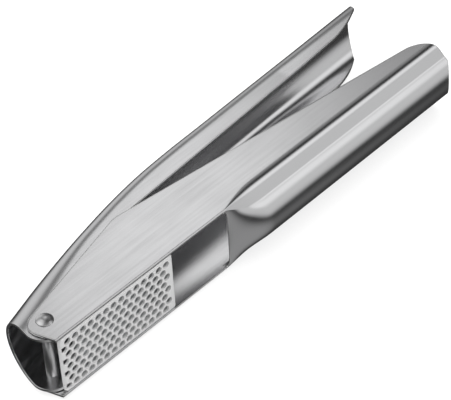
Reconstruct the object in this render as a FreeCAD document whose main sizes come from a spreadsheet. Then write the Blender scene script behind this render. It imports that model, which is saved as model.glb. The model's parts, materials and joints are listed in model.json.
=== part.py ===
"""Garlic press of folded steel sheet, lying on its side.

Working frame of every body: the pivot axis is Z through the origin, X runs
back along the handles, the sieve faces -Y and the pressing lever lies on +Y.
Z = 0 is the middle of the width.  Each body's Placement carries that frame to
the part's own frame, whose origin is the middle of the footprint, on the
surface that the lower rivet head touches.
"""
import FreeCAD, Part
import Sketcher
import math
import os

Vector = FreeCAD.Vector

SIZES = {
    # sheet-metal sections
    "sheet": 0.9,                # wall of the sieve handle
    "lever_sheet": 1.0,          # wall of the lever
    "insert_sheet": 0.8,         # wall of the sieve insert
    "half_width": 12.5,          # middle plane to the outside of a cheek
    "side_gap": 0.3,             # play between a cheek and the lever inside it
    "insert_gap": 0.1,           # play between a cheek and the sieve insert
    # sieve handle, side view
    "sieve_drop": 8.46,          # pivot axis to the outer face of the sieve
    "nose_front": 7.1,           # pivot axis to the sharp front corner
    "nose_top": 3.0,             # height of that corner above the pivot axis
    "nose_foot": 3.5,            # pivot axis to the lower end of the front edge
    "nose_radius": 5.0,
    "peak_place": 43.0,          # where the upper edge is highest
    "peak_height": 15.3,
    "peak_radius": 9.0,
    "tail_end": 172.2,           # rearmost point of the sieve handle
    "tail_round_place": 162.1,   # where the upper edge starts to round off
    "tail_round_height": -0.85,
    "tail_shoulder": 1.84,       # below the sieve face, where the rounding ends
    "tail_corner": 12.0,
    "tail_low": 3.14,            # below the sieve face, where the end draws in again
    "tail_foot": 168.9,          # rear end of the lowest line of the back
    # sieve handle, round back
    "window_end": 68.2,
    "window_corner": 1.6,
    "bulge_end": 83.0,           # where the back has its full roundness
    "step_height": 3.6,          # start of the inward step above the sieve face
    "crease_half": 8.0,
    "crease_drop": 1.66,         # crease below the sieve face
    "back_drop": 6.4,            # lowest line of the back below the sieve face
    # sieve insert
    "sieve_front": 3.3,          # pivot axis forward to the front of the sieve
    "sieve_length": 47.9,
    "insert_height": 9.5,
    "insert_bend": 1.1,
    "front_wall_angle": 52.4,
    "front_wall_height": 5.4,
    "front_wall_half": 10.0,
    "ear_relief": 0.4,           # play round the lever's ears
    "hole_diameter": 2.5,
    "hole_pitch": 3.15,          # along the sieve
    "hole_row_pitch": 2.57,      # across the sieve
    "hole_columns": 14,
    "hole_rows": 8,
    "hole_first": 0.6,           # pivot axis to the first hole of the outer row
    "hole_first_row": 8.9,       # middle plane to that row
    # lever, in its closed position
    "open_angle": 7.0,           # how far the lever stands open at rest
    "ear_radius": 6.9,
    "ear_reach": 6.8,            # front tangent of the ear
    "front_top": 2.6,            # front end of the lever's back, ahead of the pivot
    "front_back_height": 14.3,
    "knee_place": 57.0,
    "knee_height": 21.0,
    "shoulder_place": 72.0,
    "shoulder_height": 20.9,
    "lever_end": 175.8,
    "lever_end_height": 12.4,
    "flare_start": 130.0,
    "lever_flare": 0.8,          # extra half width at the rear end
    "side_drop": 6.6,            # back line down to the flat flank
    "lever_back_radius": 13.4,
    "flank_low": 1.5,            # lower edge of the flanks along the chamber
    "flank_low_end": 36.0,
    "flank_rise_place": 50.4,
    "flank_rise_height": 8.8,
    "flank_end_place": 153.0,
    "flank_end_height": 2.4,
    "lever_tail_shoulder": 6.0,  # height where the rounding meets the leaning end
    "lever_tail_lean": 0.75,
    "lever_tail_corner": 38.0,
    # pivot
    "axle_radius": 1.8,
    "axle_play": 0.05,
    "press_play": 0.02,
    "head_radius": 2.75,
    "head_rim": 0.25,
    "head_height": 1.1,
    # plunger
    "pin_radius": 1.5,
    "pin_place": 22.0,
    "pin_height": 4.5,
    "plunger_front": 4.8,
    "plunger_end": 42.6,
    "plunger_gap": 0.4,          # plunger above the sieve when closed
    "plunger_side_play": 0.3,
    "plunger_foot": 2.0,
    "lug_sheet": 2.0,
    "lug_radius": 2.9,
    "lug_spread": 11.0,
    # middle of the footprint, from the pivot axis
    "frame_back": 83.04,
    "frame_side": 9.4,
}

doc = FreeCAD.newDocument("garlic_press")
sheet = doc.addObject("Spreadsheet::Sheet", "Sizes")
for row, (alias, number) in enumerate(SIZES.items(), start=1):
    sheet.set(f"A{row}", alias)
    sheet.set(f"B{row}", str(number))
    sheet.setAlias(f"B{row}", alias)
doc.recompute()


def cell(text):
    """Turn a formula in alias names into an expression on the sheet."""
    words = []
    word = ""
    for letter in text + " ":
        if letter.isalnum() or letter == "_":
            word += letter
            continue
        words.append("Sizes." + word if word in SIZES else word)
        words.append(letter)
        word = ""
    return "".join(words).strip()


def value(text):
    """Work out a formula in alias names as a number."""
    result = sheet.evalExpression(cell(text))
    return float(getattr(result, "Value", result))


def new_body(name):
    body = doc.addObject("PartDesign::Body", name)
    body.Label = name
    return body


def place(item, turned=False):
    """Carry a body from the working frame to the part's frame, by formula."""
    item.setExpression("Placement.Base.x", cell("-frame_back"))
    item.setExpression("Placement.Base.y", cell("-frame_side"))
    item.setExpression("Placement.Base.z", cell("half_width + head_height"))
    if turned:
        item.Placement.Rotation = FreeCAD.Rotation(Vector(0, 0, 1), value("open_angle"))
        item.setExpression("Placement.Rotation.Angle", cell("open_angle"))


def sketch_on(body, name, role, lift=None):
    """Start a sketch on one of the body's own origin planes, lifted by a formula."""
    sketch = body.newObject("Sketcher::SketchObject", name)
    plane = next(item for item in body.Origin.OriginFeatures if item.Role == role)
    sketch.AttachmentSupport = [(plane, "")]
    sketch.MapMode = "FlatFace"
    if lift:
        sketch.setExpression("AttachmentOffset.Base.z", cell(lift))
    return sketch


def pin_point(sketch, edge, end, corner):
    """Hold one end of an edge at a corner given by two formulas."""
    for kind, formula in zip(("DistanceX", "DistanceY"), corner):
        index = sketch.addConstraint(Sketcher.Constraint(kind, -1, 1, edge, end, value(formula)))
        sketch.setExpression(f"Constraints[{index}]", cell(formula))


def draw_outline(sketch, corners, arcs=None):
    """Draw a closed outline through corners, each a pair of formulas.

    arcs maps a side's number to its radius formula; a leading "-" bends the
    side to the right of the direction of travel, otherwise to the left.
    """
    arcs = arcs or {}
    points = [Vector(value(across), value(along), 0) for across, along in corners]
    first = sketch.GeometryCount
    starts = []
    for side, start in enumerate(points):
        stop = points[(side + 1) % len(points)]
        if side not in arcs:
            sketch.addGeometry(Part.LineSegment(start, stop), False)
            starts.append((1, 2))
            continue
        left = not arcs[side].startswith("-")
        radius = value(arcs[side].lstrip("-"))
        chord = stop - start
        normal = Vector(-chord.y, chord.x, 0).normalize()
        reach = math.sqrt(radius ** 2 - (chord.Length / 2) ** 2)
        middle = (start + stop) / 2 + normal * (reach if left else -reach)
        ends = (start, stop) if left else (stop, start)
        angles = [math.atan2(end.y - middle.y, end.x - middle.x) for end in ends]
        circle = Part.Circle(middle, Vector(0, 0, 1), radius)
        sketch.addGeometry(Part.ArcOfCircle(circle, angles[0], angles[1]), False)
        starts.append((1, 2) if left else (2, 1))
        index = sketch.addConstraint(Sketcher.Constraint("Radius", first + side, radius))
        sketch.setExpression(f"Constraints[{index}]", cell(arcs[side].lstrip("-")))
    for side, corner in enumerate(corners):
        before = (side - 1) % len(corners)
        sketch.addConstraint(Sketcher.Constraint(
            "Coincident", first + before, starts[before][1], first + side, starts[side][0]))
        pin_point(sketch, first + side, starts[side][0], corner)


def draw_circle(sketch, across, along, radius):
    """Draw a circle whose centre and radius are formulas."""
    middle = Vector(value(across), value(along), 0)
    circle = Part.Circle(middle, Vector(0, 0, 1), value(radius))
    edge = sketch.addGeometry(circle, False)
    index = sketch.addConstraint(Sketcher.Constraint("Radius", edge, value(radius)))
    sketch.setExpression(f"Constraints[{index}]", cell(radius))
    pin_point(sketch, edge, 3, (across, along))


def pad(body, sketch, length, both_sides=False):
    feature = body.newObject("PartDesign::Pad", sketch.Name + "_pad")
    feature.Profile = sketch
    feature.SideType = "Symmetric" if both_sides else "One side"
    feature.setExpression("Length", cell(length))
    doc.recompute()
    return feature


def cut(body, sketch, length=None, reverse=False):
    """Cut a sketch right through both ways, or one way for a length."""
    before = body.Shape.Volume
    feature = body.newObject("PartDesign::Pocket", sketch.Name + "_cut")
    feature.Profile = sketch
    if length:
        feature.SideType = "One side"
        feature.Type = "Length"
        feature.Reversed = reverse
        feature.setExpression("Length", cell(length))
    else:
        feature.Type = "ThroughAll"
        feature.SideType = "Symmetric"
    doc.recompute()
    if body.Shape.Volume > before - 1e-3:
        raise RuntimeError(f"{feature.Name} removes nothing")
    return feature


def mirror(body, feature):
    """Repeat a feature on the other side of the middle plane."""
    copy = body.newObject("PartDesign::Mirrored", feature.Name + "_mirrored")
    copy.Originals = [feature]
    plane = next(item for item in body.Origin.OriginFeatures if item.Role == "XY_Plane")
    copy.MirrorPlane = (plane, [""])
    body.Tip = copy
    doc.recompute()
    return copy


def round_edges(body, base, wanted, radius):
    """Round those edges of a feature whose ends and middle pass a test."""
    names = []
    for number, edge in enumerate(base.Shape.Edges, start=1):
        if wanted(edge):
            names.append(f"Edge{number}")
    feature = body.newObject("PartDesign::Fillet", base.Name + "_round")
    feature.Base = (base, names)
    feature.setExpression("Radius", cell(radius))
    doc.recompute()
    return feature


def keep_inside(body, name, role, outline, arcs=None):
    """Trim a body to an outline by cutting a wide frame round it."""
    sketch = sketch_on(body, name, role)
    low = "-3 * half_width"
    high = "4 * half_width"
    far = "tail_end + 3 * half_width"
    draw_outline(sketch, [(low, low), (far, low), (far, high), (low, high)])
    draw_outline(sketch, outline, arcs)
    return cut(body, sketch)


def upright(edge):
    """Tell whether an edge runs along Z."""
    box = edge.BoundBox
    return box.ZLength > 0.5 and box.XLength + box.YLength < 1e-3


def middle_of(edge):
    return edge.BoundBox.Center


# --- sieve handle -------------------------------------------------------------

def channel_section(sketch, top, step, crease_half, crease, back_radius, wall="sheet"):
    """Draw the sheet's section: two cheeks, inward steps and an arched back.

    Local x is Y and local y is Z; step and crease are heights of the corners.
    """
    outer = [(top, "half_width"), (step, "half_width"), (crease, crease_half)]
    inner = [(top, f"half_width - {wall}"),
             (f"{step} + {wall} / 2", f"half_width - {wall}"),
             (f"{crease} + {wall}", f"{crease_half} - {wall} / 3")]
    corners = list(outer)
    corners += [(height, f"-({side})") for height, side in reversed(outer)]
    corners += [(height, f"-({side})") for height, side in inner]
    corners += list(reversed(inner))
    arcs = {2: f"{back_radius}", 8: f"-{back_radius}"}
    draw_outline(sketch, corners, arcs)


def make_sieve_handle():
    """Fold the lower handle: cheeks in front, a round-backed channel behind."""
    body = new_body("sieve_handle")
    top = "peak_height + 5"
    front = sketch_on(body, "handle_front_section", "YZ_Plane", "-(nose_front + 5)")
    floor = "-sieve_drop"
    draw_outline(front, [
        (top, "half_width"), (floor, "half_width"), (floor, "-half_width"),
        (top, "-half_width"), (top, "-(half_width - sheet)"),
        (f"{floor} + sheet", "-(half_width - sheet)"),
        (f"{floor} + sheet", "half_width - sheet"), (top, "half_width - sheet")])
    front_pad = pad(body, front, "nose_front + 5 + window_end")
    low_edges = round_edges(
        body, front_pad,
        lambda edge: edge.BoundBox.XLength > 30
        and abs(middle_of(edge).y + value("sieve_drop")) < 1e-3,
        "sheet * 0.8")
    window = sketch_on(body, "window", "XZ_Plane")
    inside = "half_width - sheet"
    corner = "window_corner"
    rear = "window_end"
    draw_outline(window, [
        ("-(nose_front + 9)", f"-({inside})"), (f"{rear} - {corner}", f"-({inside})"),
        (rear, f"-({inside} - {corner})"), (rear, f"{inside} - {corner}"),
        (f"{rear} - {corner}", inside), ("-(nose_front + 9)", inside)],
        {1: corner, 3: corner})
    window_cut = body.newObject("PartDesign::Pocket", "window_cut")
    window_cut.Profile = window
    window_cut.Type = "Length"
    window_cut.SideType = "Symmetric"
    window_cut.setExpression("Length", cell("2 * (sieve_drop + window_corner)"))
    doc.recompute()
    # The channel behind the window swells from a flat back to a round one.
    stations = [("window_end", 0.0), ("(window_end * 2 + bulge_end) / 3", 0.5),
                ("(window_end + bulge_end * 2) / 3", 0.87), ("bulge_end", 1.0),
                ("tail_end + 1", 1.0)]
    sections = []
    for number, (station, share) in enumerate(stations):
        section = sketch_on(body, f"handle_section_{number}", "YZ_Plane", station)
        step = f"-sieve_drop + sheet * 0.6 + (step_height - sheet * 0.6) * {share}"
        half = f"half_width - sheet * 0.6 - (half_width - sheet * 0.6 - crease_half) * {share}"
        crease = f"-sieve_drop - crease_drop * {share}"
        sag = f"(back_drop - crease_drop) * {share} + 0.05"
        radius = f"(({half}) * ({half}) / ({sag}) + ({sag})) / 2"
        channel_section(section, top, step, half, crease, radius)
        sections.append(section)
    for number in range(1, len(sections)):
        loft = body.newObject("PartDesign::AdditiveLoft", f"handle_channel_{number}")
        loft.Profile = sections[number - 1]
        loft.Sections = [sections[number]]
        loft.Ruled = True
        doc.recompute()
    side = keep_inside(body, "handle_side", "XY_Plane", [
        ("-nose_foot", "-2 * half_width"), ("tail_foot", "-2 * half_width"),
        ("tail_foot", "-sieve_drop - back_drop"), ("tail_end", "-sieve_drop - tail_low"),
        ("tail_end", "-sieve_drop - tail_shoulder"), ("tail_round_place", "tail_round_height"),
        ("peak_place", "peak_height"), ("-nose_front", "nose_top"),
        ("-nose_foot", "-sieve_drop")],
        {4: "tail_corner"})
    nose = round_edges(
        body, side,
        lambda edge: upright(edge) and abs(middle_of(edge).x + value("nose_front")) < 1e-3,
        "nose_radius")
    round_edges(
        body, nose,
        lambda edge: upright(edge) and abs(middle_of(edge).x - value("peak_place")) < 1e-3,
        "peak_radius")
    bore = sketch_on(body, "handle_bore", "XY_Plane")
    draw_circle(bore, "0", "0", "axle_radius + press_play")
    cut(body, bore)
    place(body)
    return body


# --- lever --------------------------------------------------------------------

def lever_section(sketch, height, flare):
    """Draw the lever's section: an arched back with two flat flanks."""
    outer = f"half_width - sheet - side_gap + {flare}"
    inner = f"{outer} - lever_sheet"
    low = f"{height} - 30"
    shoulder = f"{height} - side_drop"
    draw_outline(sketch, [
        (low, outer), (shoulder, outer), (height, "0"), (shoulder, f"-({outer})"),
        (low, f"-({outer})"), (low, f"-({inner})"), (shoulder, f"-({inner})"),
        (f"{height} - lever_sheet", "0"), (shoulder, inner), (low, inner)],
        {1: "-lever_back_radius", 2: "-lever_back_radius",
         6: "lever_back_radius - lever_sheet", 7: "lever_back_radius - lever_sheet"})


def make_press_lever():
    """Press the lever: a gutter whose front end is nested between the cheeks."""
    body = new_body("press_lever")
    front_slope = "(knee_height - front_back_height) / (knee_place + front_top)"
    stations = [
        ("-(ear_radius + 3)", f"front_back_height - (ear_radius + 3 - front_top) * {front_slope}",
         "0"),
        ("knee_place", "knee_height", "0"), ("shoulder_place", "shoulder_height", "0"),
        ("flare_start", "shoulder_height + (lever_end_height - shoulder_height)"
         " * (flare_start - shoulder_place) / (lever_end - shoulder_place)", "0"),
        ("lever_end", "lever_end_height", "lever_flare")]
    sections = []
    for number, (station, height, flare) in enumerate(stations):
        section = sketch_on(body, f"lever_section_{number}", "YZ_Plane", station)
        lever_section(section, height, flare)
        sections.append(section)
    for number in range(1, len(sections)):
        loft = body.newObject("PartDesign::AdditiveLoft", f"lever_gutter_{number}")
        loft.Profile = sections[number - 1]
        loft.Sections = [sections[number]]
        loft.Ruled = True
        doc.recompute()
    shoulder = "lever_end - (lever_end_height - lever_tail_shoulder) * lever_tail_lean"
    keep_inside(body, "lever_side", "XY_Plane", [
        ("-front_top", "front_back_height + 4"),
        ("-ear_reach", "sqrt(ear_radius^2 - ear_reach^2)"),
        ("0", "-ear_radius"), ("sqrt(ear_radius^2 - flank_low^2)", "flank_low"),
        ("flank_low_end", "flank_low"), ("flank_rise_place", "flank_rise_height"),
        ("flank_end_place", "flank_end_height"), (shoulder, "lever_tail_shoulder"),
        ("lever_end", "lever_end_height"), ("lever_end", "3 * half_width")],
        {1: "ear_radius", 2: "ear_radius", 6: "lever_tail_corner"})
    bore = sketch_on(body, "lever_bore", "XY_Plane")
    draw_circle(bore, "0", "0", "axle_radius + axle_play")
    draw_circle(bore, "pin_place", "pin_height", "pin_radius + press_play")
    cut(body, bore)
    place(body, turned=True)
    return body


# --- sieve insert -------------------------------------------------------------

def make_sieve_insert():
    """Press the insert: a perforated tray that is slipped in between the cheeks."""
    body = new_body("sieve_insert")
    half = "(half_width - sheet - insert_gap)"
    side = sketch_on(body, "insert_side", "XY_Plane")
    rear = "sieve_length - sieve_front"
    top = "insert_height - sieve_drop"
    draw_outline(side, [
        ("-sieve_front", "-sieve_drop"), (rear, "-sieve_drop"), (rear, top),
        ("insert_height / tan(front_wall_angle) - sieve_front", top)])
    block = pad(body, side, f"2 * {half}", both_sides=True)
    top_height = value(top)
    rounded = round_edges(
        body, block, lambda edge: edge.BoundBox.YMin < top_height - 1, "insert_bend")
    names = [f"Face{number}" for number, face in enumerate(rounded.Shape.Faces, start=1)
             if face.BoundBox.YMin > top_height - 1e-3]
    shell = body.newObject("PartDesign::Thickness", "insert_shell")
    shell.Base = (rounded, names)
    shell.Reversed = True
    shell.setExpression("Value", cell("insert_sheet"))
    doc.recompute()
    relief = sketch_on(body, "ear_relief_circle", "XY_Plane", "front_wall_half")
    draw_circle(relief, "0", "0", "ear_radius + ear_relief")
    relief_cut = cut(body, relief, "half_width", reverse=True)
    mirror(body, relief_cut)
    lowered = sketch_on(body, "front_wall_top", "XY_Plane")
    wall_top = "front_wall_height - sieve_drop"
    draw_outline(lowered, [
        ("-2 * sieve_front", wall_top), ("ear_radius", wall_top),
        ("ear_radius", "insert_height"), ("-2 * sieve_front", "insert_height")])
    cut(body, lowered)
    holes = sketch_on(body, "sieve_holes", "XZ_Plane", "sieve_drop + 1")
    for row in range(int(value("hole_rows"))):
        shift = "hole_pitch / 2" if row % 2 else "0"
        draw_circle(holes, f"hole_first - {shift}", f"hole_first_row - {row} * hole_row_pitch",
                    "hole_diameter / 2")
    first = cut(body, holes, "insert_sheet * 1.1 + 1")
    axes = {item.Role: item for item in body.Origin.OriginFeatures}
    grid = body.newObject("PartDesign::LinearPattern", "sieve_hole_grid")
    grid.Originals = [first]
    grid.Direction = (axes["X_Axis"], [""])
    grid.Mode = "Spacing"
    grid.setExpression("Offset", cell("hole_pitch"))
    grid.Occurrences = int(value("hole_columns"))
    body.Tip = grid
    place(body)
    return body


# --- pivot and plunger --------------------------------------------------------

def make_pivot_axle():
    """Turn the axle: a straight rod with a domed head at each end."""
    body = new_body("pivot_axle")
    profile = sketch_on(body, "axle_profile", "XZ_Plane")
    dome = "(head_height - head_rim)"
    dome_radius = f"(head_radius^2 + {dome}^2) / (2 * {dome})"
    tip = "half_width + head_height"
    rim = "half_width + head_rim"
    draw_outline(profile, [
        ("0", f"-({tip})"), ("head_radius", f"-({rim})"), ("head_radius", "-half_width"),
        ("axle_radius", "-half_width"), ("axle_radius", "half_width"),
        ("head_radius", "half_width"), ("head_radius", rim), ("0", tip)],
        {0: dome_radius, 6: dome_radius})
    turned = body.newObject("PartDesign::Revolution", "axle_turned")
    turned.Profile = profile
    turned.ReferenceAxis = (profile, ["V_Axis"])
    turned.Angle = 360
    doc.recompute()
    place(body)
    return body


def make_plunger():
    """Make the plunger: a flat foot over the sieve with two lugs up to its pin."""
    body = new_body("plunger")
    half = "(half_width - sheet - side_gap - lever_sheet - plunger_side_play)"
    foot_low = "insert_sheet + plunger_gap - sieve_drop"
    foot_top = f"{foot_low} + plunger_foot"
    foot = sketch_on(body, "plunger_foot_side", "XY_Plane")
    draw_outline(foot, [
        ("plunger_front", foot_low), ("plunger_end", foot_low),
        ("plunger_end", foot_top), ("plunger_front", foot_top)])
    foot_pad = pad(body, foot, f"2 * {half}", both_sides=True)
    round_edges(body, foot_pad,
                lambda edge: edge.BoundBox.YLength > value("plunger_foot") / 2,
                "plunger_foot * 0.6")
    lug = sketch_on(body, "plunger_lug_side", "XY_Plane", f"{half} - lug_sheet")
    draw_outline(lug, [
        ("pin_place - lug_spread", f"{foot_top} - plunger_foot / 4"),
        ("pin_place + lug_spread", f"{foot_top} - plunger_foot / 4"),
        ("pin_place + lug_radius", "pin_height"), ("pin_place", "pin_height + lug_radius"),
        ("pin_place - lug_radius", "pin_height")],
        {2: "lug_radius", 3: "lug_radius"})
    lug_pad = pad(body, lug, "lug_sheet")
    mirror(body, lug_pad)
    bore = sketch_on(body, "plunger_bore", "XY_Plane")
    draw_circle(bore, "pin_place", "pin_height", "pin_radius + axle_play")
    cut(body, bore)
    place(body, turned=True)
    return body


def make_plunger_pin():
    """Make the plunger's pin, flush with the outside of the lever's flanks."""
    pin = doc.addObject("Part::Cylinder", "plunger_pin")
    pin.Label = "plunger_pin"
    half = "(half_width - sheet - side_gap)"
    pin.setExpression("Radius", cell("pin_radius"))
    pin.setExpression("Height", cell(f"2 * {half}"))
    along = "pin_place * cos(open_angle) - pin_height * sin(open_angle)"
    across = "pin_place * sin(open_angle) + pin_height * cos(open_angle)"
    pin.setExpression("Placement.Base.x", cell(f"{along} - frame_back"))
    pin.setExpression("Placement.Base.y", cell(f"{across} - frame_side"))
    pin.setExpression("Placement.Base.z", cell(f"head_height + half_width - {half}"))
    return pin


# --- check and write ----------------------------------------------------------

def check_and_write(pieces):
    """Refuse a failed feature or an unsound solid, then write one file per piece."""
    for item in doc.Objects:
        if "Invalid" in item.State or "Error" in item.State:
            raise RuntimeError(f"{item.Name} failed: {item.State}")
    for piece in pieces:
        shape = piece.Shape
        if shape.isNull() or not shape.isValid() or len(shape.Solids) != 1:
            raise RuntimeError(f"{piece.Label} is not one sound solid")
    os.makedirs("parts", exist_ok=True)
    for piece in pieces:
        piece.Shape.exportStep(f"parts/{piece.Label}.step")
        print(f"{piece.Label:14s} {piece.Shape.Volume:9.1f} mm3", piece.Shape.optimalBoundingBox())


pieces = [make_sieve_handle(), make_sieve_insert(), make_pivot_axle(), make_press_lever(),
          make_plunger(), make_plunger_pin()]
doc.recompute()
check_and_write(pieces)
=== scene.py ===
"""Looks of a folded sheet-steel garlic press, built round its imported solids.

The sheet pieces are surfaces worked out on a grid: each one is the outer skin of
a folded sheet, which then gets its wall and its softened cut edges.  Lengths are
in millimetres in the press's own frame (the pivot axle along Z through the
origin, X back along the handles) until a mesh is made, which is in metres.
"""

import json
import logging
import math
from dataclasses import dataclass, field
from enum import Enum

import bmesh
import bpy
import numpy as np
from mathutils import Matrix, Vector

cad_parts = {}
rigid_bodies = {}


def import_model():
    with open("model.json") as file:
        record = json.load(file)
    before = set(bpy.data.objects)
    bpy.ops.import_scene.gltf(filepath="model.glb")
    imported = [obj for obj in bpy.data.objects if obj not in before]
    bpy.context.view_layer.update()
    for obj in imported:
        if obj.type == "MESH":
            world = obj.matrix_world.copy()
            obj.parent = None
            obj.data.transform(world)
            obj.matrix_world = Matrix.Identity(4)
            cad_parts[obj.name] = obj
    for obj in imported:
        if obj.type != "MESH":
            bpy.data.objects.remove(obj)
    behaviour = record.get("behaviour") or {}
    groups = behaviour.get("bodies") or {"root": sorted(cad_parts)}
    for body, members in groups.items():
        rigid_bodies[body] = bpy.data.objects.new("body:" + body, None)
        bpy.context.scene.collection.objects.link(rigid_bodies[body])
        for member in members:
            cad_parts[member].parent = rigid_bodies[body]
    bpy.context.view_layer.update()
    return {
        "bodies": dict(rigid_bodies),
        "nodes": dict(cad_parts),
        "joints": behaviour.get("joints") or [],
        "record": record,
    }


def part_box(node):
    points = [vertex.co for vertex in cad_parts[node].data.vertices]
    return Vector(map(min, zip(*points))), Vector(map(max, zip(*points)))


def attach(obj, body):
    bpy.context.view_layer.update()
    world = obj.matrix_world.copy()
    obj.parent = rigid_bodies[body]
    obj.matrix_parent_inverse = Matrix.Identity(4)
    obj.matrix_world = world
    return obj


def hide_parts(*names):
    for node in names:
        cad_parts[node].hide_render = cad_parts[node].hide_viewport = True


LOG = logging.getLogger("garlic_press")
MM = 0.001
SHARP_EDGE = math.radians(32)      # edges that turn more than this are shaded sharp
SOFTENED_EDGE = math.radians(50)   # edges that turn more than this get a bevel
Points = np.ndarray


# --- lines and grids ----------------------------------------------------------

def rounded_path(corners: list[tuple[float, float, float]], step: float = 0.15) -> Points:
    """Lay a line through corners and round each one with an arc.

    A corner's arc touches both of its sides at radius * tan(half the turn) from it.

    Args:
        corners: Across, up and rounding radius of each corner, in order.
        step: Longest stretch between two points of an arc.

    Returns:
        The points of the line, one row each.
    """
    places = np.array([corner[:2] for corner in corners], dtype=float)
    line = [places[:1]]
    for before, here, after, (_, _, radius) in zip(places, places[1:], places[2:], corners[1:-1]):
        come = (here - before) / np.linalg.norm(here - before)
        leave = (after - here) / np.linalg.norm(after - here)
        turn = math.atan2(come[0] * leave[1] - come[1] * leave[0], float(come @ leave))
        if radius <= 0 or abs(turn) < 1e-4:
            line.append(here[None])
            continue
        start = here - come * radius * math.tan(abs(turn) / 2)
        side = np.array([-come[1], come[0]]) * math.copysign(1, turn)
        count = max(4, int(abs(turn) * radius / step) + 2)
        swing = np.linspace(0, abs(turn), count)[:, None]
        line.append(start + side * radius * (1 - np.cos(swing)) + come * radius * np.sin(swing))
    line.append(places[-1:])
    return np.concatenate(line)


def arc_points(start: Points, stop: Points, radius: float, count: int = 30) -> Points:
    """Bend a line between two points as an arc that bulges to the right of its direction."""
    chord = np.asarray(stop, float) - np.asarray(start, float)
    length = float(np.linalg.norm(chord))
    normal = np.array([-chord[1], chord[0]]) / length
    middle = (np.asarray(start, float) + stop) / 2 + normal * math.sqrt(radius**2 - length**2 / 4)
    first = math.atan2(*(start - middle)[::-1])
    half = math.asin(length / 2 / radius)
    swing = first + np.linspace(0, 2 * half, count)
    return middle + radius * np.stack([np.cos(swing), np.sin(swing)], axis=1)


def lengths_along(path: Points) -> Points:
    """Distance of each point of a line from its first point."""
    return np.concatenate([[0.0], np.cumsum(np.linalg.norm(np.diff(path, axis=0), axis=1))])


def walk(path: Points, distance: Points) -> Points:
    """Places at given distances along a line."""
    reach = lengths_along(path)
    return np.stack([np.interp(distance, reach, path[:, axis]) for axis in range(2)], axis=-1)


def spread(
    length: float, pitch: float, lip: float, ends: tuple[bool, bool] = (True, True)
) -> Points:
    """Space lines over a length: evenly inside, closer where a cut edge is softened.

    Args:
        length: The whole length.
        pitch: Even distance inside.
        lip: Width of the softened band at an end.
        ends: Whether the first and the last end have such a band.

    Returns:
        Rising distances from 0 to length.
    """
    band = lip * np.array([0.0, 0.08, 0.3, 0.62, 1.0, 1.7, 2.8])
    low = band if ends[0] else np.zeros(1)
    high = length - band[::-1] if ends[1] else np.full(1, length)
    count = max(3, int((high[0] - low[-1]) / pitch) + 1)
    return np.concatenate([low, np.linspace(low[-1], high[0], count)[1:-1], high])


def grid_normals(points: Points) -> Points:
    """Unit normals of a grid of points, from the cross product of its two directions."""
    down = np.gradient(points, axis=0)
    along = np.gradient(points, axis=1)
    normal = np.cross(down, along)
    return normal / np.maximum(np.linalg.norm(normal, axis=2, keepdims=True), 1e-12)


def edge_distance(points: Points, kept: Points) -> Points:
    """Distance of each grid point from the sheet's nearest cut edge, along the grid lines.

    A point lies on a cut edge if some, but not all four, of the faces round it are kept.
    The distances then spread from there in four sweeps, adding each step's length.

    Args:
        points: Grid of points.
        kept: Which grid faces belong to the sheet.

    Returns:
        One distance per point.
    """
    around = np.zeros(points.shape[:2], dtype=int)
    for down in (slice(None, -1), slice(1, None)):
        for along in (slice(None, -1), slice(1, None)):
            around[down, along] += kept
    distance = np.where((around > 0) & (around < 4), 0.0, 1e3)
    rows = np.linalg.norm(np.diff(points, axis=0), axis=2)
    columns = np.linalg.norm(np.diff(points, axis=1), axis=2)
    for row in range(1, len(rows) + 1):
        distance[row] = np.minimum(distance[row], distance[row - 1] + rows[row - 1])
    for row in range(len(rows) - 1, -1, -1):
        distance[row] = np.minimum(distance[row], distance[row + 1] + rows[row])
    for column in range(1, columns.shape[1] + 1):
        distance[:, column] = np.minimum(
            distance[:, column], distance[:, column - 1] + columns[:, column - 1])
    for column in range(columns.shape[1] - 1, -1, -1):
        distance[:, column] = np.minimum(
            distance[:, column], distance[:, column + 1] + columns[:, column])
    return distance


def make_object(
    name: str, points: Points, faces: Points, marks: dict[str, Points]
) -> bpy.types.Object:
    """Make a smooth-shaded mesh object from points in metres.

    Args:
        name: The piece's name.
        points: One row per vertex.
        faces: One row of vertex numbers per face.
        marks: Numbers to store per vertex, by attribute name.

    Returns:
        The object, at the origin, with points that lie on each other merged.
    """
    mesh = bpy.data.meshes.new(name)
    mesh.from_pydata(points, [], faces)
    for mark, numbers in marks.items():
        layer = mesh.attributes.new(mark, "FLOAT", "POINT")
        layer.data.foreach_set("value", np.ascontiguousarray(numbers, dtype=np.float32))
    work = bmesh.new()
    work.from_mesh(mesh)
    loose = [vertex for vertex in work.verts if not vertex.link_faces]
    bmesh.ops.delete(work, geom=loose, context="VERTS")
    bmesh.ops.remove_doubles(work, verts=work.verts, dist=1e-6)
    work.to_mesh(mesh)
    work.free()
    mesh.shade_smooth()
    piece = bpy.data.objects.new(name, mesh)
    bpy.context.scene.collection.objects.link(piece)
    return piece


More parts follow.
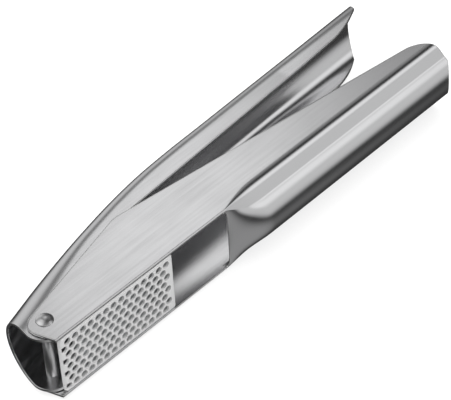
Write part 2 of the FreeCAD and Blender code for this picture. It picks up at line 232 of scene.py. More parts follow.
def sheet_from_skin(
    name: str, skin: Points, inner: Points, kept: Points, lip: float, turn: Matrix
) -> bpy.types.Object:
    """Close a folded sheet from its outer and inner skins.

    Near a cut edge both skins draw together by lip - sqrt(lip^2 - (lip - distance)^2),
    a quarter circle, and a flat rim joins them along every cut edge.

    Args:
        name: The piece's name.
        skin: Grid of the outer skin.
        inner: Grid of the inner skin, point for point.
        kept: Which grid faces belong to the sheet.
        lip: Radius of the softened cut edges.
        turn: Placement from the press's frame to the part's frame, in metres.

    Returns:
        The closed piece, with each point's distance from a cut edge as "edge".
    """
    distance = edge_distance(skin, kept)
    short = np.clip(lip - distance, 0, lip)
    pull = (lip - np.sqrt(lip**2 - short**2))[..., None]
    wall = inner - skin
    wall /= np.maximum(np.linalg.norm(wall, axis=2, keepdims=True), 1e-9)
    outer_skin = skin + wall * pull
    inner_skin = inner - wall * pull
    rows, columns = skin.shape[:2]
    index = np.arange(rows * columns).reshape(rows, columns)
    corner = [index[:-1, :-1], index[1:, :-1], index[1:, 1:], index[:-1, 1:]]
    outer_faces = np.stack([item[kept] for item in corner], axis=1)
    faces = [outer_faces, outer_faces[:, ::-1] + rows * columns]
    padded = np.pad(kept, 1)
    for shift, ends in (((0, -1), (0, 1)), ((0, 1), (2, 3)), ((-1, 0), (3, 0)), ((1, 0), (1, 2))):
        beyond = np.roll(padded, (-shift[0], -shift[1]), axis=(0, 1))[1:-1, 1:-1]
        rim = kept & ~beyond
        first, second = corner[ends[0]][rim], corner[ends[1]][rim]
        faces.append(np.stack(
            [second, first, first + rows * columns, second + rows * columns], axis=1))
    points = np.concatenate([outer_skin.reshape(-1, 3), inner_skin.reshape(-1, 3)]) * MM
    matrix = np.array(turn)
    points = points @ matrix[:3, :3].T + matrix[:3, 3]
    marks = {"edge": np.concatenate([distance.ravel()] * 2)}
    return make_object(name, points, np.concatenate(faces), marks)


# --- finishes -----------------------------------------------------------------

class Grain(Enum):
    """How a surface was worked, as the stretch of its fine marks along X, Y and Z."""

    BRUSHED = (9.0, 260.0, 260.0)
    SATIN = (900.0, 900.0, 900.0)
    TURNED = (160.0, 160.0, 900.0)
    CAST = (320.0, 320.0, 320.0)


@dataclass(frozen=True)
class SteelFinish:
    """A worked metal surface: tint, gloss, fine marks, faint clouding and a painted highlight
    along the cut edges.
    """

    name: str
    tint: tuple[float, float, float]
    roughness: float
    grain: Grain
    unevenness: float = 0.05
    relief: float = 0.02
    metal: float = 1.0
    painted_edge_highlight: bool = False

    def build(self) -> bpy.types.Material:
        """Make the node material.

        Returns:
            The material, which reads Object coordinates and, for the painted edge highlight,
            "edge".
        """
        material = bpy.data.materials.new(self.name)
        material.use_nodes = True
        nodes, links = material.node_tree.nodes, material.node_tree.links
        shader = nodes["Principled BSDF"]
        shader.inputs["Metallic"].default_value = self.metal
        place = nodes.new("ShaderNodeTexCoord")
        stretch = nodes.new("ShaderNodeMapping")
        stretch.inputs["Scale"].default_value = self.grain.value
        links.new(place.outputs["Object"], stretch.inputs["Vector"])
        fine = nodes.new("ShaderNodeTexNoise")
        fine.inputs["Scale"].default_value = 4.0
        fine.inputs["Detail"].default_value = 4.0
        links.new(stretch.outputs["Vector"], fine.inputs["Vector"])
        cloud = nodes.new("ShaderNodeTexNoise")
        cloud.inputs["Scale"].default_value = 55.0
        cloud.inputs["Detail"].default_value = 3.0
        links.new(place.outputs["Object"], cloud.inputs["Vector"])

        mixed = nodes.new("ShaderNodeMath")
        mixed.operation = "MULTIPLY_ADD"
        mixed.inputs[1].default_value = 0.6
        links.new(fine.outputs["Fac"], mixed.inputs[0])
        share = nodes.new("ShaderNodeMath")
        share.operation = "MULTIPLY"
        share.inputs[1].default_value = 0.4
        links.new(cloud.outputs["Fac"], share.inputs[0])
        links.new(share.outputs[0], mixed.inputs[2])

        gloss = nodes.new("ShaderNodeMapRange")
        gloss.inputs["From Min"].default_value = 0.3
        gloss.inputs["From Max"].default_value = 0.7
        gloss.inputs["To Min"].default_value = self.roughness - self.unevenness
        gloss.inputs["To Max"].default_value = self.roughness + self.unevenness
        links.new(mixed.outputs[0], gloss.inputs["Value"])

        shade = nodes.new("ShaderNodeMix")
        shade.data_type = "RGBA"
        darker = [channel * 0.93 for channel in self.tint]
        shade.inputs[6].default_value = (*darker, 1)
        shade.inputs[7].default_value = (*self.tint, 1)
        links.new(mixed.outputs[0], shade.inputs[0])
        colour, rough = shade.outputs[2], gloss.outputs[0]
        # The painted highlight along the cut edges, with a rougher band there.
        if self.painted_edge_highlight:
            colour, rough = self.paint_edge_highlight(material, colour, rough)
        links.new(colour, shader.inputs["Base Color"])
        links.new(rough, shader.inputs["Roughness"])

        bump = nodes.new("ShaderNodeBump")
        bump.inputs["Strength"].default_value = self.relief
        bump.inputs["Distance"].default_value = 0.0004
        links.new(fine.outputs["Fac"], bump.inputs["Height"])
        links.new(bump.outputs["Normal"], shader.inputs["Normal"])
        return material

    def paint_edge_highlight(
        self, material: bpy.types.Material, colour: bpy.types.NodeSocket,
        rough: bpy.types.NodeSocket,
    ) -> tuple[bpy.types.NodeSocket, bpy.types.NodeSocket]:
        """Brighten the colour of a narrow band along the cut edges, a painted highlight standing
        in for their reflections, and roughen it.

        Args:
            material: The material that is being built.
            colour: Its colour so far.
            rough: Its roughness so far.

        Returns:
            The new colour and roughness.
        """
        nodes, links = material.node_tree.nodes, material.node_tree.links
        edge = nodes.new("ShaderNodeAttribute")
        edge.attribute_name = "edge"
        band = nodes.new("ShaderNodeMapRange")
        band.interpolation_type = "SMOOTHSTEP"
        band.inputs["From Min"].default_value = 0.15
        band.inputs["From Max"].default_value = 0.6
        band.inputs["To Min"].default_value = 1.0
        band.inputs["To Max"].default_value = 0.0
        links.new(edge.outputs["Fac"], band.inputs["Value"])
        # Painted highlight: the colour goes towards near white along the cut edges, in place of
        # the edges' bright reflections.
        bright = nodes.new("ShaderNodeMix")
        bright.data_type = "RGBA"
        bright.inputs[7].default_value = (0.9, 0.9, 0.9, 1)
        links.new(band.outputs[0], bright.inputs[0])
        links.new(colour, bright.inputs[6])
        rougher = nodes.new("ShaderNodeMath")
        rougher.operation = "MULTIPLY_ADD"
        rougher.inputs[1].default_value = 0.08
        links.new(band.outputs[0], rougher.inputs[0])
        links.new(rough, rougher.inputs[2])
        return bright.outputs[2], rougher.outputs[0]


POLISHED = SteelFinish("polished_sheet", (0.84, 0.84, 0.85), 0.21, Grain.BRUSHED,
                       unevenness=0.03, relief=0.012, painted_edge_highlight=True)
LEVER_POLISH = SteelFinish("polished_lever", (0.83, 0.83, 0.84), 0.21, Grain.BRUSHED,
                           unevenness=0.03, relief=0.01, painted_edge_highlight=True)
SIEVE_SATIN = SteelFinish("satin_sieve", (0.88, 0.88, 0.88), 0.42, Grain.SATIN,
                          unevenness=0.06, relief=0.05, metal=0.3)
RIVET = SteelFinish("turned_rivet", (0.90, 0.90, 0.91), 0.3, Grain.TURNED,
                    unevenness=0.04, relief=0.02)
PIN = SteelFinish("turned_pin", (0.75, 0.75, 0.76), 0.22, Grain.TURNED)
CAST = SteelFinish("cast_plunger_metal", (0.62, 0.63, 0.64), 0.42, Grain.CAST,
                   unevenness=0.1, relief=0.18)


def dress(piece: bpy.types.Object, material: bpy.types.Material, body: str, slot: str,
          *nodes: str) -> None:
    """Give a piece its finish, its moving body and the solids that it stands for."""
    piece.data.materials.clear()
    piece.data.materials.append(material)
    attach(piece, body)
    if nodes:
        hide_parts(*nodes)
    LOG.info("%s rides on %s, %d faces", piece.name, body, len(piece.data.polygons))


# --- the press ----------------------------------------------------------------

@dataclass(frozen=True)
class PressFrame:
    """Where the press's own frame lies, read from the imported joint."""

    pivot: Vector
    open_angle: float = math.radians(7.0)

    @classmethod
    def from_joints(cls, joints: list[dict]) -> "PressFrame":
        """Find the pivot in the list of joints."""
        hinge = next(joint for joint in joints if joint["name"] == "lever_hinge")
        return cls(Vector(hinge["pos_m"]))

    def handle(self) -> Matrix:
        """Placement of what stands still: the pivot in the middle of the width."""
        return Matrix.Translation(self.pivot)

    def lever(self) -> Matrix:
        """Placement of what swings with the lever, which stands open at rest."""
        return Matrix.Translation(self.pivot) @ Matrix.Rotation(self.open_angle, 4, "Z")


@dataclass
class SieveHandle:
    """The lower handle: two cheeks in front of one round-backed channel."""

    sheet: float = 0.9
    half_width: float = 12.5
    lip: float = 0.24
    sieve_drop: float = 8.46
    nose: list[tuple[float, float, float]] = field(default_factory=lambda: [
        (-3.5, -8.46, 0.0), (-7.1, 3.0, 5.0), (43.0, 15.3, 9.0), (162.1, -0.85, 0.0)])
    tail_shoulder: tuple[float, float] = (172.2, -10.3)
    tail_radius: float = 12.0
    tail_low: float = -11.6
    tail_foot: float = 168.9
    window_end: float = 68.2
    window_corner: float = 1.6
    bulge_end: float = 83.0
    step_height: float = 3.6
    crease_half: float = 8.0
    crease_drop: float = 1.66
    back_drop: float = 6.4
    slope_angle: float = math.radians(55.0)
    lower_bend: float = 0.54       # sieve face up to where a cheek is flat
    nose_reach: float = 10.6       # stretch of the outline that the front columns end on
    tail_reach: float = 8.5        # the same at the rear end, back from the rounded end

    def swell(self, place: Points) -> Points:
        """Share of the full roundness at a place: 0 at the window, 1 from the bulge on."""
        share = np.clip((place - self.window_end) / (self.bulge_end - self.window_end), 0, 1)
        return np.sin(share * math.pi / 2)

    def crease(self, share: Points) -> tuple[Points, Points]:
        """Half width and height of the crease for a share of roundness."""
        flat_side = self.half_width - self.lower_bend
        side = flat_side - (flat_side - self.crease_half) * share
        return side, -self.sieve_drop - self.crease_drop * share

    def cheek_foot(self, share: Points) -> Points:
        """Height at which the flat cheek starts to turn inwards."""
        return (-self.sieve_drop + self.lower_bend
                + (self.step_height - self.lower_bend) * share)

    def back_profile(self, part: str, along: Points, share: Points) -> tuple[Points, Points]:
        """Half width and height on the folded part of the section.

        The bend is a quadratic curve from the cheek to the slope, the crease another one
        from the slope to the arch, and the arch a circle through the crease and the lowest
        line of the back.

        Args:
            part: "bend", "slope", "crease" or "arch".
            along: Fraction of that part, from the cheek's side to the middle.
            share: Share of the full roundness.

        Returns:
            Half width and height.
        """
        sin_slope, cos_slope = math.sin(self.slope_angle), math.cos(self.slope_angle)
        crease_side, crease_height = self.crease(share)
        foot = self.cheek_foot(share)
        turn_height = crease_height + (self.half_width - crease_side) * cos_slope / sin_slope
        reach = foot - turn_height
        bend_end = (self.half_width - reach * sin_slope, turn_height - reach * cos_slope)
        soft = 0.08 + 0.4 * share
        before = (crease_side + soft * sin_slope, crease_height + soft * cos_slope)
        sag = 0.05 + (self.back_drop - self.crease_drop - 0.05) * share**0.75
        radius = (crease_side**2 / sag + sag) / 2
        full = np.arcsin(np.clip(crease_side / radius, 0, 1))
        centre = crease_height - sag + radius
        rest = full - soft / radius
        after = (radius * np.sin(rest), centre - radius * np.cos(rest))
        if part == "bend":
            knots = ((self.half_width + 0 * share, foot),
                     (self.half_width + 0 * share, turn_height), bend_end)
        elif part == "crease":
            knots = (before, (crease_side, crease_height), after)
        elif part == "slope":
            return (bend_end[0] + (before[0] - bend_end[0]) * along,
                    bend_end[1] + (before[1] - bend_end[1]) * along)
        else:
            angle = rest * (1 - along)
            return radius * np.sin(angle), centre - radius * np.cos(angle)
        weights = ((1 - along) ** 2, 2 * along * (1 - along), along**2)
        return tuple(sum(weight * knot[axis] for weight, knot in zip(weights, knots))
                     for axis in range(2))

    def outline(self) -> tuple[Points, Points, Points]:
        """Side view of the cut edge: the front edge, the upper edge and the rear end.

        Returns:
            The front edge upwards, the upper edge backwards and the rear end downwards.
        """
        path = rounded_path(self.nose)
        rear = arc_points(np.array(self.tail_shoulder), np.array(self.nose[-1][:2]),
                          self.tail_radius)[::-1]
        path = np.concatenate([path[:-1], rear])
        low = -self.sieve_drop - self.back_drop
        foot = rounded_path([(*self.tail_shoulder, 0.0),
                             (self.tail_shoulder[0], self.tail_low, 1.0),
                             (self.tail_foot, low, 0.0)])
        nose_middle = self.nose_reach
        tail_middle = lengths_along(path)[-1] - self.tail_reach
        path = np.concatenate([path, foot[1:]])
        reach = lengths_along(path)
        front = walk(path, np.linspace(0, nose_middle, 60))
        upper = walk(path, np.concatenate([
            np.linspace(nose_middle, nose_middle + 9, 60)[:-1],
            np.linspace(nose_middle + 9, tail_middle, 900)]))
        end = walk(path, np.linspace(tail_middle, reach[-1], 160))
        return front, upper, end

    def skin(self) -> tuple[Points, Points, Points]:
        """Work out the outer skin, the inner skin and which faces are there.

        Rows run from one upper edge over the back to the other, columns from front to
        rear.  A column joins a place on the upper edge to the place below it, and the
        front and rear columns are drawn on to the cut ends.

        Returns:
            Outer grid, inner grid and the kept faces.
        """
        front, upper, end = self.outline()
        lip = self.lip
        window = self.window_end - self.window_corner
        cheek = spread(1.0, 0.05, 0.008, (True, False))
        parts = [("cheek", cheek[:-1]), ("bend", np.linspace(0, 1, 9)[:-1]),
                 ("slope", np.linspace(0, 1, 5)[:-1]), ("crease", np.linspace(0, 1, 6)),
                 ("arch", np.concatenate([np.array([0.01, 0.03, 0.06]), np.linspace(0.1, 1, 22)]))]
        front_fraction = spread(1.0, 0.0105, lip / (window + 3.5))
        rear_fraction = spread(1.0, 0.007, lip / (self.tail_foot - self.window_end))[1:]
        columns = len(front_fraction) + len(rear_fraction)
        first_rear = len(front_fraction) - 1
        upper_reach = lengths_along(upper)
        upper_split = float(np.interp(self.window_end, upper[:, 0], upper_reach))
        top = np.concatenate([
            walk(upper, front_fraction * upper_split),
            walk(upper, upper_split + rear_fraction * (upper_reach[-1] - upper_split))])
        blend = np.concatenate([front_fraction, rear_fraction])
        in_rear = np.arange(columns) > first_rear
        rows = []
        for part, shares in parts:
            for share in shares:
                rows.append(self.row(part, share, top, blend, in_rear, front, end, window))
        half = np.stack(rows)
        count = len(half)
        full = np.concatenate([half, half[-2::-1] * np.array([1, 1, -1])])
        solid_crease_rows = 2
        cheek_rows = sum(len(shares) for _, shares in parts[:3]) + solid_crease_rows
        kept = np.ones((len(full) - 1, columns - 1), dtype=bool)
        kept[cheek_rows:len(full) - 1 - cheek_rows, :first_rear] = False
        normal = grid_normals(full)
        inner = full - normal * self.sheet
        straight = full.copy()
        straight[:count, :, 2] = self.half_width - self.sheet
        straight[count:, :, 2] = -(self.half_width - self.sheet)
        inner[:, :first_rear + 1] = straight[:, :first_rear + 1]
        return full, inner, kept

    def row(self, part: str, share: float, top: Points, blend: Points, in_rear: Points,
            front: Points, end: Points, window: float) -> Points:
        """Work out one row of the half skin, on the +Z side.

        Args:
            part: Which part of the section the row lies on.
            share: Fraction of that part.
            top: Places on the upper edge, one per column.
            blend: Fraction of the front or the rear stretch, one per column.
            in_rear: Which columns lie behind the window's front columns.
            front: The front edge upwards.
            end: The rear end downwards.
            window: Where the rear stretch starts at the cheeks.

        Returns:
            One point per column.
        """
        up = front[:, 1]
        foot_front = float(np.interp(self.lower_bend - self.sieve_drop, up, front[:, 0]))
        if part == "cheek":
            start = walk(front, np.array([lengths_along(front)[-1] * (1 - share)]))[0]
            stop = walk(end, np.array([self.end_reach(end, self.foot_at_end()) * share]))[0]
            foot_start, foot_end = foot_front, self.end_place(end, self.foot_at_end())
            bottom = np.where(in_rear, window + blend * (foot_end - window),
                              foot_start + blend * (window - foot_start))
            foot = self.cheek_foot(self.swell(bottom))
            across = top[:, 0] * (1 - share) + bottom * share
            height = top[:, 1] * (1 - share) + foot * share
            near = np.where(in_rear, 0.0, np.clip(1 - blend / 0.25, 0, 1) ** 2)
            far = np.where(in_rear, np.clip((blend - 0.8) / 0.2, 0, 1) ** 2, 0.0)
            for weight, target, column in ((near, start, 0), (far, stop, -1)):
                across = across + weight * (target[0] - across[column])
                height = height + weight * (target[1] - height[column])
            side = np.full(len(top), self.half_width)
            return np.stack([across, height, side], axis=1)
        guess = self.back_profile(part, np.array(share), np.array(1.0))
        stop = self.end_place(end, float(guess[1]))
        flat_side, flat_height = self.back_profile(part, np.array(share), np.array(0.0))
        begin = float(np.interp(float(flat_height), up, front[:, 0]))
        opening = self.window_end - self.window_rounding(float(flat_side), part)
        across = np.where(in_rear, opening + blend * (stop - opening),
                          begin + blend * (window - begin))
        across[int(in_rear.argmax()) - 1] = opening
        side, height = self.back_profile(part, np.full(len(top), share), self.swell(across))
        return np.stack([across, height, side], axis=1)

    def window_rounding(self, side: float, part: str) -> float:
        """How far the window's rear edge stands forward near its corner."""
        if part in ("bend", "slope"):
            return self.window_corner
        reach = np.clip(side - (self.half_width - self.sheet - self.window_corner), 0,
                        self.window_corner)
        return float(self.window_corner - math.sqrt(max(self.window_corner**2 - reach**2, 0)))

    def foot_at_end(self) -> float:
        """Height of the cheek's foot at the rear end."""
        return -self.sieve_drop + self.step_height

    @staticmethod
    def end_place(end: Points, height: float) -> float:
        """Where the rear end is at a height."""
        return float(np.interp(-height, -end[:, 1], end[:, 0]))

    @staticmethod
    def end_reach(end: Points, height: float) -> float:
        """How far down the rear end a height is."""
        return float(np.interp(-height, -end[:, 1], lengths_along(end)))

    def build(self, frame: PressFrame, finish: bpy.types.Material) -> None:
        """Make the handle and dress it."""
        skin, inner, kept = self.skin()
        piece = sheet_from_skin("folded_sieve_handle", skin, inner, kept, self.lip,
                                frame.handle())
        dress(piece, finish, "handle", "polished_steel", "sieve_handle")


@dataclass
class PressLever:
    """The upper handle: a gutter with flat flanks that nest between the cheeks."""

    sheet: float = 1.0
    half_width: float = 11.3
    flare: float = 0.8
    flare_start: float = 130.0
    lip: float = 0.26
    crown_radius: float = 14.4
    crown_front_radius: float = 11.6
    crown_angle: float = math.radians(41.3)
    front_top: tuple[float, float] = (-1.6, 18.3)
    ear_radius: float = 6.9
    ear_tangent: tuple[float, float] = (-6.8, 1.17)
    lower_edge: list[tuple[float, float, float]] = field(default_factory=lambda: [
        (6.73, 1.5, 0.8), (36.0, 1.5, 4.0), (50.4, 8.8, 4.0), (153.0, 2.4, 0.0)])
    tail_shoulder: tuple[float, float] = (171.0, 6.0)
    tail_radius: float = 38.0
    lever_end: float = 175.75
    end_height: float = 12.4
    tail_lean: float = 0.75
    back_line: tuple[tuple[float, float], ...] = (
        (-9.0, 13.2), (-2.6, 14.25), (11.3, 16.5), (25.0, 18.2), (39.0, 19.6), (52.0, 20.6),
        (66.7, 20.9), (79.2, 20.3), (98.5, 18.7), (120.0, 16.95), (142.2, 15.1), (165.0, 13.3),
        (180.0, 12.05))

    def crown_height(self, place: Points) -> Points:
        """Height of the back's highest line, a smooth curve through its known places.

        Between two places the curve is a cubic whose slopes are those of the chords
        between their neighbours.
        """
        knots = np.array(self.back_line)
        slopes = np.gradient(knots[:, 1], knots[:, 0])
        index = np.clip(np.searchsorted(knots[:, 0], place) - 1, 0, len(knots) - 2)
        width = knots[index + 1, 0] - knots[index, 0]
        share = (place - knots[index, 0]) / width
        start, stop = knots[index, 1], knots[index + 1, 1]
        return ((2 * share**3 - 3 * share**2 + 1) * start
                + (share**3 - 2 * share**2 + share) * width * slopes[index]
                + (3 * share**2 - 2 * share**3) * stop
                + (share**3 - share**2) * width * slopes[index + 1])

    def half_at(self, place: Points) -> Points:
        """Half width at a place: it grows a little towards the rear end."""
        share = np.clip((place - self.flare_start) / (self.lever_end - self.flare_start), 0, 1)
        return self.half_width + self.flare * share

    def crown_at(self, place: Points) -> Points:
        """Radius of the crown at a place: the front end is rounder."""
        share = np.clip((place + 2) / 40, 0, 1)
        share = share * share * (3 - 2 * share)
        return self.crown_front_radius + (self.crown_radius - self.crown_front_radius) * share

    def shoulder(self, place: Points) -> tuple[Points, Points, Points]:
        """Radius of the shoulder bend, and the lengths of the crown's and shoulder's arcs."""
        crown_side = self.crown_at(place) * math.sin(self.crown_angle)
        radius = (self.half_at(place) - crown_side) / (1 - math.sin(self.crown_angle))
        crown = self.crown_at(place) * self.crown_angle
        return radius, crown, radius * (math.pi / 2 - self.crown_angle)

    def section(self, place: Points, girth: Points) -> tuple[Points, Points]:
        """Half width and height at a distance from the crown, round the section.

        First the crown's circle, then the tighter circle of the shoulder, then straight
        down the flank.

        Args:
            place: Position along the lever.
            girth: Distance round the section from its middle.

        Returns:
            Half width and height.
        """
        radius, crown, bend = self.shoulder(place)
        top = self.crown_height(place)
        round_radius = self.crown_at(place)
        angle = np.minimum(girth, crown) / round_radius
        side = round_radius * np.sin(angle)
        height = top - round_radius * (1 - np.cos(angle))
        turned = np.clip(girth - crown, 0, bend) / radius + self.crown_angle
        more = girth > crown
        side = np.where(more, side + radius * (np.sin(turned) - math.sin(self.crown_angle)), side)
        height = np.where(
            more, height - radius * (math.cos(self.crown_angle) - np.cos(turned)), height)
        return side, height - np.maximum(girth - crown - bend, 0)

    def girth_to(self, place: Points, height: Points) -> Points:
        """Distance round the section from its middle down to a height."""
        tries = np.linspace(0, 45, 700)
        grid_place = np.repeat(place[:, None], len(tries), axis=1)
        heights = self.section(grid_place, np.broadcast_to(tries, grid_place.shape))[1]
        return np.array([np.interp(-level, -line, tries) for level, line in zip(height, heights)])

    def outline(self) -> tuple[Points, Points]:
        """Side view of the cut edge: the front end downwards and the lower edge backwards."""
        swing = np.linspace(math.atan2(self.ear_tangent[1], self.ear_tangent[0]),
                            math.radians(225 - 360) + 2 * math.pi, 30)
        front_ear = self.ear_radius * np.stack([np.cos(swing), np.sin(swing)], axis=1)
        front = np.concatenate([[self.front_top], front_ear])
        swing = np.linspace(math.radians(225), math.radians(360 + 11), 90)
        ear = self.ear_radius * np.stack([np.cos(swing), np.sin(swing)], axis=1)
        lower = rounded_path([(*ear[-2], 0.0), *self.lower_edge])
        tail = arc_points(np.array(self.lower_edge[-1][:2]), np.array(self.tail_shoulder),
                          self.tail_radius)
        return front, np.concatenate([ear[:-1], lower[1:], tail[1:]])

    def skin(self) -> tuple[Points, Points, Points]:
        """Work out the outer skin, the inner skin and which faces are there.

        A column joins a place on the lower edge to one on the crown, at equal shares of
        the distance round the section; the front and rear columns are drawn on to the
        cut ends.

        Returns:
            Outer grid, inner grid and the kept faces.
        """
        lower = self.outline()[1]
        reach = lengths_along(lower)
        ear_end = 26.0
        fine = spread(ear_end, 0.5, self.lip, (True, False))
        rough = spread(reach[-1] - ear_end, 0.9, self.lip, (False, True)) + ear_end
        stations = np.concatenate([fine, rough[1:]])
        bottom = walk(lower, stations)
        crown_front = self.front_place(float(self.crown_height(np.array(-3.6))))
        marks = [0.0, 17.0, 46.0, 62.0, reach[-1]]
        places = [crown_front, 8.0, 37.0, 52.0, self.lever_end]
        crown = np.interp(stations, marks, places)
        soft = np.convolve(np.pad(crown, 8, mode="edge"), np.ones(17) / 17, mode="valid")
        inside = np.clip(np.minimum(stations, reach[-1] - stations) / 12, 0, 1)
        crown = crown * (1 - inside) + soft * inside
        total = self.girth_to(bottom[:, 0], bottom[:, 1])
        girth = 1 - spread(1.0, 0.028, 0.008, (True, False))
        across = crown + girth[:, None] * (bottom[:, 0] - crown)
        near = np.clip(1 - stations / 14, 0, 1) ** 2
        far = np.clip(1 - (reach[-1] - stations) / 14, 0, 1) ** 2
        for _ in range(3):
            height = self.section(across, girth[:, None] * total)[1]
            start = np.array([self.front_place(level) for level in height[:, 0]])
            stop = self.lever_end - (self.end_height - height[:, -1]) * self.tail_lean
            start[0], stop[0] = bottom[0, 0], bottom[-1, 0]
            across = (across + near * (start - across[:, 0])[:, None]
                      + far * (stop - across[:, -1])[:, None])
        side, height = self.section(across, girth[:, None] * total)
        height[0] = bottom[:, 1]
        half = np.stack([across, height, side], axis=2)
        full = np.concatenate([half, half[-2::-1] * np.array([1, 1, -1])])[::-1]
        kept = np.ones((full.shape[0] - 1, full.shape[1] - 1), dtype=bool)
        return full, full - grid_normals(full) * self.sheet, kept

    def front_place(self, height: float) -> float:
        """Where the front end is at a height."""
        front = self.outline()[0]
        return float(np.interp(-height, -front[:, 1], front[:, 0]))

    def build(self, frame: PressFrame, finish: bpy.types.Material) -> None:
        """Make the lever and dress it."""
        skin, inner, kept = self.skin()
        piece = sheet_from_skin("pressed_lever", skin, inner, kept, self.lip, frame.lever())
        dress(piece, finish, "lever", "lever_steel", "press_lever")


@dataclass
class TurnedPiece:
    """A round piece: a profile of radius and height carried round an axis along Z."""

    name: str
    node: str
    profile: list[tuple[float, float, float]]
    body: str
    slot: str
    turns: int = 72

    def build(self, finish: bpy.types.Material) -> None:
        """Carry the profile round the solid's own middle line and dress the piece."""
        low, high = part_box(self.node)
        middle = (Vector(low) + Vector(high)) / 2
        line = rounded_path(self.profile, step=0.06)
        swing = np.linspace(0, 2 * math.pi, self.turns, endpoint=False)
        radius, height = line[:, 0][:, None], line[:, 1][:, None]
        grid = np.stack([radius * np.cos(swing), radius * np.sin(swing),
                         height + 0 * swing], axis=2)
        points = grid.reshape(-1, 3) * MM + np.array(middle)
        rows, columns = grid.shape[:2]
        index = np.arange(rows * columns).reshape(rows, columns)
        after = np.roll(index, -1, axis=1)
        faces = np.stack([index[:-1], after[:-1], after[1:], index[1:]], axis=2).reshape(-1, 4)
        piece = make_object(self.name, points, faces, {})
        work = bmesh.new()
        work.from_mesh(piece.data)
        bmesh.ops.dissolve_degenerate(work, edges=work.edges, dist=1e-7)
        bmesh.ops.recalc_face_normals(work, faces=work.faces)
        work.to_mesh(piece.data)
        work.free()
        piece.data.shade_smooth()
        dress(piece, finish, self.body, self.slot, self.node)


def refined_copy(source: bpy.types.Object, name: str, softening: float) -> bpy.types.Object:
    """Copy a solid's mesh, merge it, shade it smooth and soften its sharp edges.

    Args:
        source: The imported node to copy, which stays as it is.
        name: The new piece's name.
        softening: Width of the softened edges in millimetres.

    Returns:
        The new piece.
    """
    mesh = source.data.copy()
    mesh.name = name
    work = bmesh.new()
    work.from_mesh(mesh)
    bmesh.ops.remove_doubles(work, verts=work.verts, dist=2e-6)
    for edge in work.edges:
        edge.smooth = edge.is_manifold and edge.calc_face_angle(0.0) < SHARP_EDGE
    work.to_mesh(mesh)
    work.free()
    mesh.shade_smooth()
    mesh.set_sharp_from_angle(angle=SHARP_EDGE)
    piece = bpy.data.objects.new(name, mesh)
    bpy.context.scene.collection.objects.link(piece)
    if softening > 0:
        bevel = piece.modifiers.new("softened_edges", "BEVEL")
        bevel.limit_method = "ANGLE"
        bevel.angle_limit = SOFTENED_EDGE
        bevel.width = softening * MM
        bevel.segments = 2
        bevel.harden_normals = False
    return piece


# --- studio -------------------------------------------------------------------

@dataclass(frozen=True)
class SoftLobe:
    """A soft bright patch of the studio, towards a direction."""

    azimuth: float
    elevation: float
    inner: float
    outer: float
    strength: float

    def direction(self) -> tuple[float, float, float]:
        """Unit vector towards the patch."""
        turn, lift = math.radians(self.azimuth), math.radians(self.elevation)
        return (math.cos(turn) * math.cos(lift), math.sin(turn) * math.cos(lift), math.sin(lift))


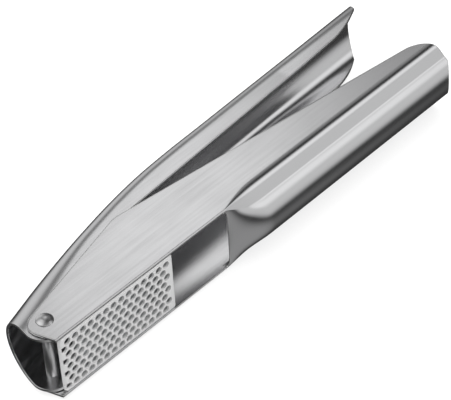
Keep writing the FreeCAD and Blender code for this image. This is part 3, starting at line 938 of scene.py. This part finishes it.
@dataclass
class Studio:
    """A pale floor, a soft room and the camera."""

    floor_size: float = 6.0
    lobes: tuple[SoftLobe, ...] = (
        SoftLobe(47.5, 44.5, 1.0, 8.5, 1.1),
        SoftLobe(46.0, 44.0, 5.0, 30.0, 0.22),
        SoftLobe(-46.0, 40.0, 2.0, 24.0, 0.9),
        SoftLobe(-57.0, 14.0, 4.0, 27.0, 0.58),
        SoftLobe(-80.0, 40.0, 2.0, 26.0, 0.8),
        SoftLobe(-112.0, 42.0, 2.0, 30.0, 0.85),
        SoftLobe(135.0, 50.0, 5.0, 45.0, 0.8),
        SoftLobe(75.0, 8.0, 2.0, 30.0, 0.6),
        SoftLobe(-100.0, -50.0, 5.0, 50.0, 0.25),
    )
    ambient: float = 0.04
    camera_target: tuple[float, float, float] = (-0.0001, -0.0028, 0.0102)
    camera_azimuth: float = -44.49
    camera_elevation: float = 43.34
    camera_roll: float = 3.515
    camera_distance: float = 0.6659
    camera_lens: float = 167.6

    def make_world(self) -> None:
        """Fill the room with soft bright patches on a dim ground."""
        world = bpy.data.worlds.new("studio_room")
        bpy.context.scene.world = world
        world.use_nodes = True
        nodes, links = world.node_tree.nodes, world.node_tree.links
        place = nodes.new("ShaderNodeTexCoord")
        total = None
        for lobe in self.lobes:
            facing = nodes.new("ShaderNodeVectorMath")
            facing.operation = "DOT_PRODUCT"
            facing.inputs[1].default_value = lobe.direction()
            links.new(place.outputs["Generated"], facing.inputs[0])
            patch = nodes.new("ShaderNodeMapRange")
            patch.interpolation_type = "SMOOTHSTEP"
            patch.inputs["From Min"].default_value = math.cos(math.radians(lobe.outer))
            patch.inputs["From Max"].default_value = math.cos(math.radians(lobe.inner))
            patch.inputs["To Max"].default_value = lobe.strength
            links.new(facing.outputs["Value"], patch.inputs["Value"])
            if total is None:
                total = patch.outputs[0]
                continue
            joined = nodes.new("ShaderNodeMath")
            joined.operation = "MAXIMUM"
            links.new(total, joined.inputs[0])
            links.new(patch.outputs[0], joined.inputs[1])
            total = joined.outputs[0]
        lifted = nodes.new("ShaderNodeMath")
        lifted.operation = "ADD"
        lifted.inputs[1].default_value = self.ambient
        links.new(total, lifted.inputs[0])
        links.new(lifted.outputs[0], nodes["Background"].inputs["Color"])

    def make_floor(self) -> None:
        """Lay the pale floor that the press lies on."""
        half = self.floor_size / 2
        mesh = bpy.data.meshes.new("pale_floor")
        mesh.from_pydata([(-half, -half, 0), (half, -half, 0), (half, half, 0), (-half, half, 0)],
                         [], [(0, 1, 2, 3)])
        floor = bpy.data.objects.new("pale_floor", mesh)
        bpy.context.scene.collection.objects.link(floor)
        paint = bpy.data.materials.new("pale_floor")
        paint.use_nodes = True
        shader = paint.node_tree.nodes["Principled BSDF"]
        shader.inputs["Base Color"].default_value = (0.25, 0.25, 0.25, 1)
        shader.inputs["Emission Color"].default_value = (1, 1, 1, 1)
        shader.inputs["Emission Strength"].default_value = 0.8
        shader.inputs["Roughness"].default_value = 0.9
        shader.inputs["Specular IOR Level"].default_value = 0.1
        mesh.materials.append(paint)
        floor.visible_glossy = False

    def make_lights(self) -> None:
        """Hang one broad lamp over the floor."""
        lamp = bpy.data.lights.new("overhead_lamp", "AREA")
        lamp.shape = "DISK"
        lamp.size = 5.0
        lamp.energy = 170.0
        piece = bpy.data.objects.new("overhead_lamp", lamp)
        piece.location = (0.3, 0.4, 2.2)
        piece.rotation_euler = (Vector((0, 0, 0)) - piece.location).to_track_quat(
            "-Z", "Y").to_euler()
        piece.visible_glossy = False
        bpy.context.scene.collection.objects.link(piece)

    def make_camera(self) -> None:
        """Set the camera above the front left corner, looking down the handles."""
        camera = bpy.data.cameras.new("camera")
        camera.lens = self.camera_lens
        camera.sensor_width = 36.0
        camera.clip_start = 0.01
        piece = bpy.data.objects.new("camera", camera)
        turn, lift = math.radians(self.camera_azimuth), math.radians(self.camera_elevation)
        back = Vector((math.sin(turn) * math.cos(lift), -math.cos(turn) * math.cos(lift),
                       math.sin(lift)))
        piece.location = Vector(self.camera_target) + back * self.camera_distance
        level = (-back).to_track_quat("-Z", "Y").to_matrix().to_4x4()
        roll = Matrix.Rotation(-math.radians(self.camera_roll), 4, "Z")
        piece.matrix_world = Matrix.Translation(piece.location) @ level @ roll
        bpy.context.scene.collection.objects.link(piece)
        bpy.context.scene.camera = piece

    def build(self) -> None:
        """Set up the whole studio."""
        self.make_world()
        self.make_floor()
        self.make_lights()
        self.make_camera()
        bpy.context.scene.view_settings.view_transform = "Standard"


def main() -> None:
    """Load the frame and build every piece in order."""
    logging.basicConfig(level=logging.INFO, format="%(message)s")
    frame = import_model()
    press = PressFrame.from_joints(frame["joints"])
    Studio().build()

    SieveHandle().build(press, POLISHED.build())
    PressLever().build(press, LEVER_POLISH.build())

    TurnedPiece("riveted_axle", "pivot_axle", [
        (0.0, 13.6, 0.0), (0.9, 13.52, 3.0), (1.9, 13.2, 2.0), (2.62, 12.78, 0.15),
        (2.75, 12.62, 0.1), (2.7, 12.5, 0.0), (1.8, 12.5, 0.0), (1.8, -12.5, 0.0),
        (2.7, -12.5, 0.0), (2.75, -12.62, 0.1), (2.62, -12.78, 0.15), (1.9, -13.2, 2.0),
        (0.9, -13.52, 3.0), (0.0, -13.6, 0.0)], "handle", "rivet_steel").build(RIVET.build())
    TurnedPiece("turned_plunger_pin", "plunger_pin", [
        (0.0, 11.3, 0.0), (1.25, 11.3, 0.08), (1.5, 11.05, 0.08), (1.5, -11.05, 0.08),
        (1.25, -11.3, 0.08), (0.0, -11.3, 0.0)], "lever", "pin_steel").build(PIN.build())

    insert = refined_copy(frame["nodes"]["sieve_insert"], "perforated_insert", 0.06)
    dress(insert, SIEVE_SATIN.build(), "handle", "satin_steel", "sieve_insert")
    plunger = refined_copy(frame["nodes"]["plunger"], "cast_plunger", 0.25)
    dress(plunger, CAST.build(), "plunger", "cast_plunger", "plunger")


if __name__ == "__main__":
    main()
